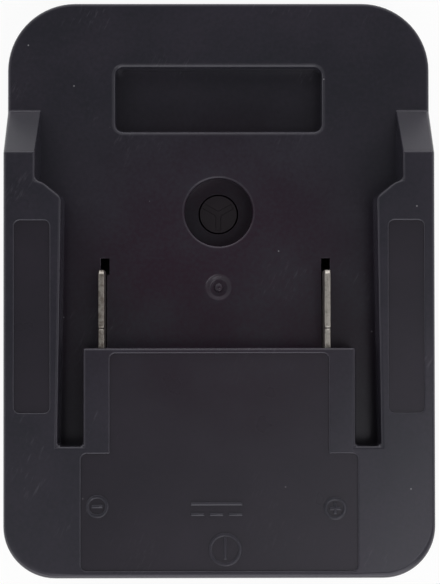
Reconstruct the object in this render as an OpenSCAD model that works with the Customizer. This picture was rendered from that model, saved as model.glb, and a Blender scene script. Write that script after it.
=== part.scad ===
// Slide-on battery adapter for a cordless tool, lying on its tool side with the battery seat up.
// X runs across the seat, +Y points to the end where the battery enters, +Z points out of the seat.
// The origin is under the middle of the body, on the bottom of the tool foot.

/* [Body] */
// Width across the side walls
body_w = 75; // [73:0.5:84]
// Length from the battery entry end to the terminal end
body_l = 101.3; // [99:0.1:112]
// Corner radius at the battery entry end
entry_corner_r = 12; // [8:0.5:13]
// Corner radius at the terminal end
stop_corner_r = 9; // [7:0.5:10]
// Wall thickness of both shells
wall = 2.4; // [2:0.1:2.8]
// Thickness of the seat floor and of the back shell's floor
floor_t = 2.4; // [2:0.1:3]
// Height of the back shell's walls, from the shoulder to the seam
back_h = 11.5; // [11:0.5:14]
// Height from the seam to the seat floor
front_h = 10; // [10:0.5:14]
// Height of the tongue that locates the shells on each other
tongue_h = 1.5; // [1:0.1:2]

/* [Battery seat] */
// Height of the rails above the seat floor
rail_h = 10; // [9:0.5:13]
// Clear width between the rails' inner walls
channel_w = 64; // [62:0.5:66]
// Clear width between the two lips, at the end block
lip_gap_w = 56.2; // [54:0.1:57]
// How much each lip leans in from the end block to the battery entry end
lip_taper = 0.65; // [0:0.05:1]
// Thickness of the overhanging lips
lip_t = 4; // [3:0.5:5]
// Length of the low deck from the entry end to the foot of the ramps
deck_l = 19.15; // [17:0.05:21]
// Length of the ramps along the seat
ramp_run = 8.1; // [7:0.1:10]
// Radius of the hollow at the foot of the ramps
ramp_fillet_r = 0.5; // [0.5:0.5:4]
// Distance from the top of the ramps to the start of the lips
lip_setback = 4.8; // [3:0.1:7]
// Length of the lips' slanted lead-in
lip_lead_l = 2.6; // [1.5:0.1:4]
// Width of the square step before the lead-in
lip_step_w = 1.4; // [0.5:0.1:2.5]
// Length of the full-width end block
end_block_l = 22.95; // [21:0.05:26]
// Thickness of the terminal block's side walls
block_wall = 1.7; // [1.5:0.1:2.2]
// Length of the terminal block
block_l = 17.05; // [15:0.05:20]

/* [Shallow recesses] */
// Depth of the recessed panel on the end block
panel_depth = 0.4; // [0.2:0.05:0.8]
// Width of the panel on the end block
panel_w = 48; // [44:0.5:52]
// Width of the panel on the terminal block
panel_neck_w = 38; // [32:0.1:40]
// Bare edge between the panel and the terminal end
panel_stop_edge = 1.35; // [0.8:0.05:2]
// Bare edge between the panel and the end block's inner face
panel_edge = 1.3; // [0.6:0.05:2]
// Bare edge between the panel and the terminal block's face
panel_face_edge = 0.95; // [0.5:0.05:1.5]
// Corner radius of the panel
panel_corner_r = 1; // [0.5:0.1:2]
// Depth of the recess on each rail
pad_depth = 0.35; // [0.2:0.05:0.8]
// Width of the recess on each rail
pad_w = 6.1; // [4:0.1:7]
// Length of the recess on each rail
pad_l = 33.4; // [25:0.1:38]
// Distance from the lip's edge to the recess
pad_edge = 1.4; // [1:0.1:2.5]
// Distance from the start of the lip to the recess
pad_setback = 7.1; // [5:0.1:10]
// Outer radius of the round moulding mark on the seat floor
mark_r = 2.2; // [1.5:0.1:3]
// Depth of the moulding mark
mark_depth = 0.4; // [0.2:0.1:0.8]
// Width of the slope round the moulding mark
mark_slope = 0.8; // [0.4:0.1:1]
// Radius of the dot in the moulding mark
mark_dot_r = 0.8; // [0.5:0.1:1.2]
// Distance from the middle of the well to the moulding mark
mark_setback = 13.4; // [11:0.1:15]

/* [Latch pocket] */
// Width of the pocket that takes the battery's hook
pocket_w = 36.5; // [30:0.5:42]
// Length of the pocket
pocket_l = 11.2; // [10:0.1:14]
// Depth of the pocket
pocket_depth = 6; // [4:0.5:7]
// Corner radius of the pocket
pocket_corner_r = 1.3; // [0.8:0.1:2.5]
// Distance from the entry end to the pocket
pocket_setback = 11.55; // [9:0.05:13]
// Wall thickness of the pocket's cup
cup_wall = 2; // [1.5:0.1:2.5]

/* [Screw well] */
// Radius of the round well in the seat floor
well_r = 6; // [5:0.1:7]
// Depth of the well
well_depth = 7.5; // [6:0.5:8]
// Depth of the sink for the screw's head in the well's bottom
head_sink = 2.5; // [2.2:0.1:3]
// Distance from the entry end to the middle of the well
well_setback = 37.25; // [35:0.05:40]
// Wall thickness of the well's tube and bottom
well_wall = 2.2; // [1.6:0.1:3]

/* [Blades] */
// Thickness of the blades
blade_t = 1.1; // [0.8:0.1:1.6]
// Distance between the blades
blade_pitch = 39.6; // [38:0.1:40]
// Offset of the pair of blades from the middle of the body
blade_shift = -0.8; // [-0.9:0.05:0.9]
// Offset of the pair of floor notches from the blades
blade_slot_shift = 0.2; // [-0.4:0.05:0.4]
// Distance of each floor notch from its blade, towards the middle
blade_slot_inset = 0.2; // [0:0.05:0.4]
// Width of the floor notches
blade_slot_w = 1.5; // [1.2:0.1:2]
// Length of the blades in front of the terminal block
blade_reach = 13.65; // [10:0.05:16]
// Height of the blades above the seat floor
blade_h = 7.4; // [5:0.1:7.5]
// Chamfer at the blades' tips
blade_chamfer = 0.7; // [0.5:0.1:2]
// Step down of the blades' tops near the terminal block
blade_step = 0.35; // [0:0.05:0.6]
// Distance from the terminal block to the step
blade_step_l = 3.6; // [1:0.1:6]
// Length of the floor notches past the blades' tips
blade_slot_l = 2.2; // [1:0.1:4]
// Depth of the blades' heels below the seat floor
heel_depth = 6.4; // [5.5:0.1:8]
// Length of the blades' heels
heel_l = 9; // [6:0.5:10]
// Length of the blades' soldering tails
tail_l = 9; // [7:0.5:12]
// Height of the soldering tails
tail_h = 5; // [4:0.5:6]

/* [Blade retainer] */
// Thickness of the retainer bar
retainer_t = 4.4; // [3.6:0.1:5]
// Depth of the blade grooves in the retainer bar
groove_depth = 1.4; // [1:0.1:2]
// Material past the groove at each end
groove_end = 1.2; // [0.8:0.1:2]
// Distance between the two retainer screws
retainer_screw_pitch = 20; // [14:1:26]

/* [Tool foot] */
// Width of the foot across its lips
foot_w = 54; // [50:0.5:55]
// Width of the foot's neck
foot_neck_w = 45; // [44:0.5:46]
// Height of the foot below the shoulder
foot_h = 8.5; // [8:0.5:11]
// Thickness of the foot's lips
foot_lip_t = 4; // [3:0.5:4.5]
// Distance from the terminal end to the foot
foot_setback = 8.65; // [6:0.05:10]
// Length of the foot past the middle of the well
foot_past_well = 4.6; // [4.2:0.1:8]
// Corner radius of the foot
foot_corner_r = 1.5; // [1:0.1:2.5]
// Thickness of the foot's bottom
foot_floor_t = 2.2; // [1.8:0.1:2.6]

/* [Tool contacts] */
// Distance between the two contact slots
slot_pitch = 28; // [26:0.5:30]
// Width of the contact slots
slot_w = 2.6; // [2:0.1:3]
// Length of the contact slots
slot_l = 15; // [12:0.5:15]
// Thickness of the contact metal
clip_t = 0.8; // [0.5:0.1:1]
// Width of the contact clips across their leaves
clip_w = 4.2; // [3.6:0.1:4.6]
// Length of the contact clips
clip_l = 12.6; // [11:0.1:13]
// Height of the contact clips
clip_h = 5.6; // [4.5:0.1:6]
// Gap between the leaves where they touch the tool's blade
clip_gap = 0.7; // [0.4:0.1:1]
// Length of the clips' soldering tabs
tab_l = 5.4; // [4:0.1:6]
// Length of the contact block
block_insert_l = 15; // [14.5:0.1:17]
// Roof thickness of the contact block
block_roof_t = 1.6; // [1.2:0.1:2]

/* [Leads] */
// Radius of the insulated leads
lead_r = 1.6; // [1.2:0.1:1.8]
// Radius of the leads' turn
lead_bend_r = 6; // [5:0.5:7]
// Straight length of the leads at each end
lead_run = 6.5; // [6:0.5:8]
// Length of the shrink sleeves
sleeve_l = 5; // [4:0.5:5.5]
// Wall of the shrink sleeves
sleeve_wall = 0.5; // [0.3:0.1:0.8]

/* [Release latch] */
// Travel of the latch
latch_travel = 5; // [3:0.5:5]
// Thickness of the latch plate
latch_t = 2.6; // [2:0.1:3.2]
// Width of the hook
hook_w = 18; // [12:0.5:24]
// Length of the hook
hook_l = 7.6; // [6:0.1:9]
// Reach of the hook below the shoulder
hook_h = 5; // [3:0.5:6]
// Distance from the entry end to the hook
hook_setback = 13; // [11:0.1:15]
// Width of the button
button_w = 29.2; // [20:0.1:32]
// Height of the button's finger ribs
rib_h = 0.5; // [0.3:0.1:0.8]
// Number of finger ribs
rib_count = 3; // [2:1:4]
// Outer diameter of the latch springs
spring_d = 5; // [4:0.2:5.6]
// Wire diameter of the latch springs
spring_wire_d = 0.6; // [0.4:0.1:0.8]
// Turns of each latch spring
spring_turns = 7; // [5:1:9]

/* [Fasteners] */
// Distance from the side walls to the case screws
case_screw_side = 6.5; // [6.3:0.1:8]
// Distance from the terminal end to the case screws
case_screw_stop = 8; // [7:0.1:10]
// Distance from the entry end to the case screws
case_screw_entry = 9.6; // [9:0.1:11]
// Radius of the case screws' shanks
case_screw_r = 1.5; // [1.25:0.05:1.6]
// Length of the case screws under the head
case_screw_l = 12; // [10:0.5:14]
// Radius of the centre screw's shank
centre_screw_r = 1.75; // [1.5:0.05:2]
// Length of the centre screw under the head
centre_screw_l = 13; // [11:0.5:14]
// Radius of the retainer screws' shanks
small_screw_r = 1.1; // [1:0.05:1.25]
// Length of the retainer screws under the head
small_screw_l = 10; // [8:0.5:12]
// Wall round each screw hole
boss_wall = 1.7; // [1.4:0.1:1.9]

/* [Fits] */
// Gap between sliding faces
slide_gap = 0.3; // [0.2:0.05:0.5]
// Gap between seated pieces
fit_gap = 0.1; // [0.05:0.05:0.2]
// Gap round a screw's shank in its boss
screw_gap = 0.05; // [0.03:0.01:0.1]

/* [Hidden] */
$fn = 48;

// Sides of the body: the negative pole is on the left
left = -1;
right = 1;
sides = [left, right];

// Overlap that joins solids of one piece, and the reach of cuts past a face
join = 1;

// Levels
z_back = foot_h;
z_tray = z_back + floor_t;
z_seam = z_back + back_h;
z_floor = z_seam + front_h;
z_ceiling = z_floor - floor_t;
z_rail = z_floor + rail_h;
z_lip = z_rail - lip_t;
z_roof = z_rail - wall;

// Places along the body
y_entry = body_l / 2;
y_stop = -body_l / 2;
y_ramp_foot = y_entry - deck_l;
y_ramp_top = y_ramp_foot - ramp_run;
y_lip = y_ramp_top - lip_setback;
y_slot = y_stop + end_block_l;
y_face = y_slot + block_l;
y_well = y_entry - well_setback;
y_mark = y_well - mark_setback;

// Seat
x_rail = channel_w / 2;
x_lip = lip_gap_w / 2;
lip_step_l = 0.4;
ramp_angle = atan2(rail_h, ramp_run);
ramp_tangent = ramp_fillet_r * tan(ramp_angle / 2);
fillet_steps = 8;

// Pocket and well
y_pocket = y_entry - pocket_setback - pocket_l / 2;
z_pocket = z_floor - pocket_depth;
z_cup = z_pocket - cup_wall;
z_well = z_floor - well_depth;
z_centre_head = z_well - head_sink;
z_well_under = z_centre_head - well_wall;

// Blades and retainer
blade_gap = 0.12;
z_blade = z_floor + blade_h;
z_heel = z_floor - heel_depth;
z_retainer = z_heel + groove_depth;
y_blade_tip = y_face + blade_reach;
y_blade_slot = y_blade_tip + blade_slot_l;
y_heel = y_face - wall - groove_end - fit_gap;
y_blade_back = y_heel - heel_l - groove_end - fit_gap;
y_tail = y_blade_back - tail_l;
z_tail = z_ceiling - tail_h / 2;
retainer_w = blade_pitch + 2 * (abs(blade_shift) + blade_t / 2 + groove_end + fit_gap);
y_retainer = y_heel - heel_l / 2;
retainer_l = heel_l + 2 * (groove_end + fit_gap);
small_head_r = 2 * small_screw_r;
small_head_h = 1.6;
small_boss_r = small_screw_r + boss_wall;

// Terminal block, wide enough inside for the sleeves on the blades' tails
x_block_in = blade_pitch / 2 + abs(blade_shift) + blade_t / 2 + sleeve_wall + slide_gap;
block_w = 2 * (x_block_in + block_wall);

// Foot and contacts
y_foot_stop = y_stop + foot_setback;
y_foot_entry = y_well + foot_past_well;
foot_l = y_foot_entry - y_foot_stop;
y_foot = (y_foot_stop + y_foot_entry) / 2;
x_foot_in = foot_neck_w / 2 - wall;
x_slot = slot_pitch / 2;
slot_h = foot_floor_t + clip_h;
z_clip = foot_floor_t + 2 * fit_gap;
z_clip_top = z_clip + clip_h;
z_insert = z_clip_top + fit_gap + block_roof_t;
y_insert = y_foot_stop + wall + fit_gap;
y_insert_back = y_insert + block_insert_l;
y_clip = y_insert + 2 * fit_gap;
y_clip_back = y_clip + clip_l;
x_tab = x_slot + clip_w / 2;

// Leads, from each blade's tail to the tab of the clip below it
joint_gap = 0.02;
z_lead = z_tail + tail_h / 2;
y_lead_end = y_tail + sleeve_l;
y_lead_turn = y_lead_end - lead_run;

// Latch
y_hook = y_entry - hook_setback;
y_hook_start = y_hook - hook_l;
z_hook = z_back - hook_h;
z_latch = z_tray + fit_gap;
z_latch_top = z_latch + latch_t;
y_wall_in = y_entry - wall;
skirt_t = 1.6;
y_skirt = y_wall_in - slide_gap - skirt_t;
z_skirt = z_seam + 2 * slide_gap;
latch_edge = 2;
y_latch = y_hook_start - latch_edge;
z_button = z_back + slide_gap;
z_button_top = z_seam - slide_gap - latch_travel;
button_h = z_button_top - z_button;
y_button = y_skirt + skirt_t;
y_button_face = y_entry - rib_h - fit_gap;
peg_r = 1.2;
x_peg = button_w / 3;
peg_edge = 0.8;
z_peg = z_button_top - peg_edge - peg_r;
x_spring = pocket_w / 2 + cup_wall + slide_gap + spring_d / 2 + slide_gap;
x_wing = x_spring + spring_d / 2 + slide_gap;
wing_edge = 1;
wing_l = spring_d + 2 * wing_edge;
spigot_r = spring_d / 2 - spring_wire_d - slide_gap;
spigot_h = 2.5;
guide_t = 1.5;
z_guide = z_seam - slide_gap;

// Fasteners
x_case = body_w / 2 - case_screw_side;
case_places = [
    for (s = sides)
        for (y = [y_stop + case_screw_stop, y_entry - case_screw_entry])
            [s * x_case, y]
];
case_head_r = 1.8 * case_screw_r;
case_head_h = 2.1;
case_boss_r = case_screw_r + boss_wall;
case_sink = 3;
z_case_head = z_back + case_sink;
case_web = 2.6;
z_case_split = z_case_head + case_web;
centre_head_r = 3.48;
head_gap = 0.12;
centre_head_h = 2.2;
centre_boss_r = centre_screw_r + boss_wall;
screw_tip = 0.8;

// Outline of the body, drawn in by a distance
module outline(inset = 0) {
    w = body_w / 2 - inset;
    l = body_l / 2 - inset;
    e = entry_corner_r - inset;
    s = stop_corner_r - inset;
    polygon([
        [-w, s - l], [s - w, -l], [w - s, -l], [w, s - l],
        [w, l - e], [w - e, l], [e - w, l], [-w, l - e]
    ]);
    for (k = sides) {
        translate([k * (w - e), l - e])
            circle(r = e);
        translate([k * (w - s), s - l])
            circle(r = s);
    }
}

// Rectangle with round corners, centred
module round_rect(w, l, r) {
    square([w - 2 * r, l], center = true);
    square([w, l - 2 * r], center = true);
    for (x = sides)
        for (y = sides)
            translate([x * (w / 2 - r), y * (l / 2 - r)])
                circle(r = r);
}

// A flat shape raised from one level to another
module slab(low, high) {
    translate([0, 0, low])
        linear_extrude(high - low)
            children();
}

// A block between two corners
module block(low, high) {
    translate(low)
        cube(high - low);
}

// A shape drawn along the body and upwards, from one place across the body to another
module across(x_from, x_to) {
    translate([min(x_from, x_to), 0, 0])
        rotate([90, 0, 90])
            linear_extrude(abs(x_to - x_from))
                children();
}

// A rod or hole from one level to another
module post(x, y, low, high, r) {
    translate([x, y, low])
        cylinder(h = high - low, r = r);
}

// A tapping screw with its head's seat at the origin and its tip up, and slots in its head
module screw(shank_r, length, head_r, head_h, slots, wing = 0.62, crown = 0.82) {
    rim = head_h * 0.4;
    difference() {
        union() {
            cylinder(h = length - screw_tip, r = shank_r);
            translate([0, 0, length - screw_tip])
                cylinder(h = screw_tip, r1 = shank_r, r2 = shank_r * 0.4);
            translate([0, 0, rim - head_h])
                cylinder(h = head_h - rim, r = head_r);
            translate([0, 0, -head_h])
                cylinder(h = rim, r1 = head_r * crown, r2 = head_r);
        }
        for (k = [0 : slots - 1])
            rotate([0, 0, 90 + k * 360 / slots])
                translate([0, -head_r * 0.13, -head_h - join])
                    cube([head_r * wing, head_r * 0.26, head_h * 0.7 + join]);
    }
}

// Front shell: the raised shapes on the seat side, seen from above
module raised_plan() {
    intersection() {
        outline();
        union() {
            translate([-body_w / 2, y_stop])
                square([body_w, end_block_l]);
            translate([-block_w / 2, y_slot - join])
                square([block_w, block_l + join]);
            for (s = sides)
                translate([s > 0 ? x_rail : -body_w / 2, y_slot - join])
                    square([body_w / 2 - x_rail, y_ramp_top - y_slot + join]);
        }
    }
}

// Front shell: one overhanging lip, seen from above
module lip_plan() {
    polygon([
        [x_rail + join, y_lip], [x_rail, y_lip], [x_rail - lip_step_w, y_lip - lip_step_l],
        [x_lip - lip_taper, y_lip - lip_step_l - lip_lead_l], [x_lip, y_slot], [x_lip, y_slot - join],
        [x_rail + join, y_slot - join]
    ]);
}

// Front shell: one ramp, seen from the side, with a hollow at its foot
module ramp_side() {
    centre = [y_ramp_foot + ramp_tangent, z_floor + ramp_fillet_r];
    hollow = [
        for (k = [0 : fillet_steps])
            let (a = 270 - ramp_angle * (1 - k / fillet_steps))
            centre + ramp_fillet_r * [cos(a), sin(a)]
    ];
    polygon(concat(
        [[y_ramp_top - join, z_floor - join], [y_ramp_top - join, z_rail], [y_ramp_top, z_rail]],
        hollow,
        [[centre[0], z_floor - join]]
    ));
}

// Front shell: everything outside, before it is hollowed
module front_outside() {
    slab(z_seam, z_floor)
        outline();
    slab(z_floor - join, z_rail)
        raised_plan();
    for (s = sides) {
        mirror([s > 0 ? 0 : 1, 0, 0])
            slab(z_lip, z_rail)
                lip_plan();
        across(s * x_rail, s * body_w / 2)
            ramp_side();
    }
}

// Front shell: the hollow behind the seat, the end block and the terminal block
module front_inside() {
    slab(z_seam - join, z_ceiling)
        outline(wall);
    slab(z_seam - join, z_seam + tongue_h + fit_gap)
        outline(wall / 2 - fit_gap);
    slab(z_ceiling - join, z_roof)
        intersection() {
            outline(wall);
            union() {
                translate([-body_w / 2, y_stop])
                    square([body_w, end_block_l - wall]);
                translate([-x_block_in, y_slot - wall - join])
                    square([2 * x_block_in, block_l + join]);
            }
        }
}

// Front shell: cup, tube, screw bosses and ribs behind the seat
module front_bosses() {
    translate([0, y_pocket, 0])
        slab(z_cup, z_ceiling + join)
            round_rect(pocket_w + 2 * cup_wall, pocket_l + 2 * cup_wall, pocket_corner_r + cup_wall);
    post(0, y_well, z_well_under, z_ceiling + join, well_r + well_wall);
    for (p = case_places)
        post(p[0], p[1], z_case_split, (p[1] > 0 ? z_ceiling : z_roof) + join, case_boss_r);
    for (s = sides) {
        post(s * retainer_screw_pitch / 2, y_retainer, z_retainer, z_roof + join, small_boss_r);
        post(s * x_spring, y_pocket, z_ceiling - spigot_h, z_ceiling + join, spigot_r);
        block(
            [s * x_slot / 2 - wall / 2, y_insert + wall, z_insert + fit_gap],
            [s * x_slot / 2 + wall / 2, y_insert_back - wall, z_roof + join]
        );
    }
}

// Front shell: a pole's slot through the seat floor and the face of the terminal block
module blade_slot(s) {
    x = blade_x(s);
    half = blade_t / 2 + blade_gap;
    notch_x = x - s * blade_slot_inset + blade_slot_shift;
    block(
        [x - half, y_face - wall - join, z_ceiling - join],
        [x + half, y_blade_tip + blade_gap, z_floor + join]
    );
    block(
        [notch_x - blade_slot_w / 2, y_blade_tip - blade_chamfer, z_ceiling - join],
        [notch_x + blade_slot_w / 2, y_blade_slot, z_floor + join]
    );
    block([x - half, y_face - wall - join, z_floor], [x + half, y_face + join, z_blade + blade_gap]);
}

// Front shell: the recessed panel, seen from above
module panel_plan() {
    low = y_stop + panel_stop_edge;
    middle = y_slot - panel_edge;
    high = y_face - panel_face_edge;
    translate([0, (low + middle) / 2])
        round_rect(panel_w, middle - low, panel_corner_r);
    translate([0, (middle + high) / 2 - panel_corner_r])
        round_rect(panel_neck_w, high - middle + 2 * panel_corner_r, panel_corner_r);
}

// Front shell: openings, screw holes and shallow recesses
module front_cuts() {
    translate([0, y_pocket, 0])
        slab(z_pocket, z_floor + join)
            round_rect(pocket_w, pocket_l, pocket_corner_r);
    post(0, y_well, z_well, z_floor + join, well_r);
    post(0, y_well, z_centre_head, z_well + join, centre_head_r + head_gap);
    post(0, y_well, z_well_under - join, z_centre_head + join, centre_screw_r + fit_gap);
    for (p = case_places)
        post(p[0], p[1], z_case_split - join, z_case_head + case_screw_l + join, case_screw_r + screw_gap);
    for (s = sides) {
        post(
            s * retainer_screw_pitch / 2, y_retainer,
            z_retainer - join, z_retainer - retainer_t + small_screw_l + join, small_screw_r + screw_gap
        );
        blade_slot(s);
        translate([s * (x_lip + pad_edge + pad_w / 2), y_lip - pad_setback - pad_l / 2, 0])
            slab(z_rail - pad_depth, z_rail + join)
                round_rect(pad_w, pad_l, panel_corner_r);
    }
    slab(z_rail - panel_depth, z_rail + join)
        panel_plan();
    difference() {
        translate([0, y_mark, z_floor - mark_depth])
            cylinder(
                h = mark_depth + join,
                r1 = mark_r - mark_slope,
                r2 = mark_r + mark_slope * join / mark_depth
            );
        post(0, y_mark, z_floor - mark_depth - join, z_floor - mark_depth / 4, mark_dot_r);
    }
}

module front_shell() {
    color("#2b292d")
        difference() {
            union() {
                difference() {
                    front_outside();
                    front_inside();
                }
                front_bosses();
            }
            front_cuts();
        }
}

// Back shell: tray, tongue and foot, before they are hollowed
module back_outside() {
    slab(z_back, z_seam)
        outline();
    slab(z_seam - join, z_seam + tongue_h)
        outline(wall / 2);
    translate([0, y_foot, 0]) {
        slab(0, foot_lip_t)
            round_rect(foot_w, foot_l, foot_corner_r);
        slab(0, z_back + join)
            round_rect(foot_neck_w, foot_l, foot_corner_r);
    }
}

// Back shell: the hollow of the tray and of the foot
module back_inside() {
    slab(z_tray, z_seam + tongue_h + join)
        outline(wall);
    block(
        [-x_foot_in, y_foot_stop + wall, foot_floor_t],
        [x_foot_in, y_foot_entry - wall, z_tray + join]
    );
}

// Back shell: screw bosses and the guides of the latch
module back_bosses() {
    post(0, y_well, foot_floor_t - join, z_well_under, centre_boss_r);
    for (p = case_places)
        post(p[0], p[1], z_back, z_case_split, case_boss_r + fit_gap);
    for (s = sides) {
        inner = x_wing + slide_gap;
        block(
            [min(s * inner, s * (inner + guide_t)), y_pocket - wing_l / 2, z_tray - join],
            [max(s * inner, s * (inner + guide_t)), y_pocket + wing_l / 2, z_guide]
        );
    }
}

// Back shell: contact slots, hook window, button notch and screw holes
module back_cuts() {
    for (s = sides)
        block(
            [s * x_slot - slot_w / 2, y_foot_stop - join, -join],
            [s * x_slot + slot_w / 2, y_foot_stop + slot_l, slot_h]
        );
    block(
        [-hook_w / 2 - slide_gap, y_hook_start - slide_gap, z_back - join],
        [hook_w / 2 + slide_gap, y_hook + slide_gap, z_tray + join]
    );
    block(
        [-button_w / 2 - slide_gap, y_button - slide_gap, z_back - join],
        [button_w / 2 + slide_gap, y_entry + join, z_seam + tongue_h + join]
    );
    post(0, y_well, z_centre_head - centre_screw_l - join, z_well_under + join, centre_screw_r + screw_gap);
    for (p = case_places) {
        post(p[0], p[1], z_back - join, z_case_head, case_head_r + fit_gap);
        post(p[0], p[1], z_back, z_case_split + join, case_screw_r + fit_gap);
    }
}

module back_shell() {
    color("#2a282c")
        difference() {
            union() {
                difference() {
                    back_outside();
                    back_inside();
                }
                back_bosses();
            }
            back_cuts();
        }
}

// Place of a pole's blade across the body
function blade_x(s) = s * blade_pitch / 2 + blade_shift;

// One blade: exposed contact, heel in the retainer and soldering tail
module blade(s) {
    x = blade_x(s);
    across(x - blade_t / 2, x + blade_t / 2)
        polygon([
            [y_blade_tip, z_ceiling + blade_chamfer], [y_blade_tip, z_blade - blade_chamfer],
            [y_blade_tip - blade_chamfer, z_blade], [y_face + blade_step_l, z_blade],
            [y_face + blade_step_l - blade_step, z_blade - blade_step], [y_blade_back, z_blade - blade_step],
            [y_blade_back, z_tail + tail_h], [y_tail, z_tail + tail_h], [y_tail, z_tail],
            [y_heel - heel_l, z_tail], [y_heel - heel_l, z_heel], [y_heel, z_heel],
            [y_heel, z_ceiling], [y_blade_tip - blade_chamfer, z_ceiling]
        ]);
}

module negative_blade() {
    color("#b9b3a6")
        blade(left);
}

module positive_blade() {
    color("#b9b3a6")
        blade(right);
}

// Bar that holds the blades up in the terminal block
module blade_retainer() {
    color("#3a3a3c")
        difference() {
            translate([0, y_retainer, 0])
                slab(z_retainer - retainer_t, z_retainer)
                    square([retainer_w, retainer_l], center = true);
            for (s = sides) {
                half = blade_t / 2 + fit_gap;
                block(
                    [blade_x(s) - half, y_heel - heel_l - fit_gap, z_heel],
                    [blade_x(s) + half, y_heel + fit_gap, z_retainer + join]
                );
                post(
                    s * retainer_screw_pitch / 2, y_retainer,
                    z_retainer - retainer_t - join, z_retainer + join, small_screw_r + fit_gap
                );
            }
        }
}

module retainer_screws() {
    color("#8d8f92")
        for (s = sides)
            translate([s * retainer_screw_pitch / 2, y_retainer, z_retainer - retainer_t])
                screw(small_screw_r, small_screw_l, small_head_r, small_head_h, 4);
}

// Insulator that holds the clips in the foot
module contact_block() {
    color("#38363a")
        difference() {
            block(
                [-x_foot_in + fit_gap, y_insert, foot_floor_t],
                [x_foot_in - fit_gap, y_insert_back, z_insert]
            );
            for (s = sides) {
                half = clip_w / 2 + fit_gap;
                block(
                    [s * x_slot - half, y_insert - join, foot_floor_t - join],
                    [s * x_slot + half, y_clip_back + fit_gap, z_clip_top + fit_gap]
                );
                translate([s * (x_tab - clip_t / 2), y_clip_back - tab_l / 2, 0])
                    slab(z_clip_top, z_insert + join)
                        square([clip_t + 2 * fit_gap, tab_l + 2 * fit_gap], center = true);
            }
        }
}

// A clip's two sprung leaves, seen from above, with the tool's blade coming in at the low end
module clip_plan() {
    half = clip_w / 2;
    pinch = clip_gap / 2;
    mouth = half - clip_t;
    y_pinch = y_clip + clip_l * 0.2;
    y_root = y_clip + clip_l * 0.6;
    for (s = sides)
        polygon([
            [s * half, y_clip_back], [s * half, y_root], [s * (pinch + clip_t), y_pinch],
            [s * (mouth + clip_t), y_clip], [s * mouth, y_clip],
            [s * pinch, y_pinch], [s * mouth, y_root], [s * mouth, y_clip_back]
        ]);
    translate([-half, y_clip_back - clip_t])
        square([clip_w, clip_t]);
}

// One clip: leaves, and the tab that the lead is soldered to
module clip(s) {
    translate([s * x_slot, 0, 0])
        slab(z_clip, z_clip_top)
            clip_plan();
    block(
        [min(s * x_tab, s * (x_tab - clip_t)), y_clip_back - tab_l, z_clip_top - join],
        [max(s * x_tab, s * (x_tab - clip_t)), y_clip_back, tab_z(s)]
    );
}

module negative_clip() {
    color("#b98d5a")
        clip(left);
}

module positive_clip() {
    color("#b98d5a")
        clip(right);
}

// Ends of a lead: beside its blade's tail, and lower down beside its clip's tab
function lead_x(s) = blade_x(s) - s * (blade_t / 2 + lead_r + joint_gap);
function lead_low_x(s) = s * (x_tab + lead_r + joint_gap);
function lead_lean(s) = asin((lead_low_x(s) - lead_x(s)) / (2 * lead_bend_r));
function lead_low_z(s) = z_lead - 2 * lead_bend_r * cos(lead_lean(s));
function tab_z(s) = lead_low_z(s) + lead_r;

module lead(s) {
    translate([lead_x(s), y_lead_turn, z_lead])
        rotate([0, -lead_lean(s), 0]) {
            rotate([-90, 0, 0])
                cylinder(h = lead_run, r = lead_r);
            translate([0, 0, -2 * lead_bend_r])
                rotate([-90, 0, 0])
                    cylinder(h = y_clip_back - y_lead_turn, r = lead_r);
            translate([0, 0, -lead_bend_r])
                rotate([0, 90, 0])
                    rotate([0, 0, 180])
                        rotate_extrude(angle = 180)
                            translate([lead_bend_r, 0])
                                circle(r = lead_r);
        }
}

module negative_lead() {
    color("#1d1d1f")
        lead(left);
}

module positive_lead() {
    color("#a51f1c")
        lead(right);
}

// Shrink sleeve over a lead's end and the metal beside it, from one corner of its section to the other
module sleeve(low, high, y_from, y_to) {
    size = high - low;
    translate([(low[0] + high[0]) / 2, y_to, (low[1] + high[1]) / 2])
        rotate([90, 0, 0])
            linear_extrude(y_to - y_from)
                round_rect(size[0], size[1], 3 * sleeve_wall);
}

// The two sleeves of one lead: at the blade's tail and at the clip's tab
module lead_sleeves(s) {
    tail_edge = blade_x(s) + s * (blade_t / 2 + sleeve_wall);
    lead_edge = lead_x(s) - s * (lead_r + sleeve_wall);
    tab_edge = s * (x_tab - clip_t - sleeve_wall);
    low_edge = lead_low_x(s) + s * (lead_r + sleeve_wall);
    difference() {
        union() {
            sleeve(
                [min(tail_edge, lead_edge), z_tail - sleeve_wall],
                [max(tail_edge, lead_edge), z_tail + tail_h + sleeve_wall],
                y_tail, y_lead_end
            );
            sleeve(
                [min(tab_edge, low_edge), lead_low_z(s) - lead_r - sleeve_wall],
                [max(tab_edge, low_edge), tab_z(s) + sleeve_wall],
                y_clip_back - sleeve_l, y_clip_back
            );
        }
        across(blade_x(s) - blade_t / 2 - joint_gap, blade_x(s) + blade_t / 2 + joint_gap)
            translate([y_tail - join, z_tail - joint_gap])
                square([tail_l, tail_h + 2 * joint_gap]);
        across(s * (x_tab - clip_t - joint_gap), s * (x_tab + joint_gap))
            translate([y_clip_back - sleeve_l - join, z_clip_top])
                square([sleeve_l + 2 * join, tab_z(s) + joint_gap - z_clip_top]);
        translate([lead_x(s), y_tail - join, z_lead])
            rotate([-90, 0, 0])
                cylinder(h = sleeve_l + 2 * join, r = lead_r + joint_gap);
        translate([lead_low_x(s), y_clip_back - sleeve_l - join, lead_low_z(s)])
            rotate([-90, 0, 0])
                cylinder(h = sleeve_l + 2 * join, r = lead_r + joint_gap);
    }
}

module negative_sleeves() {
    color("#262628")
        lead_sleeves(left);
}

module positive_sleeves() {
    color("#262628")
        lead_sleeves(right);
}

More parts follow.
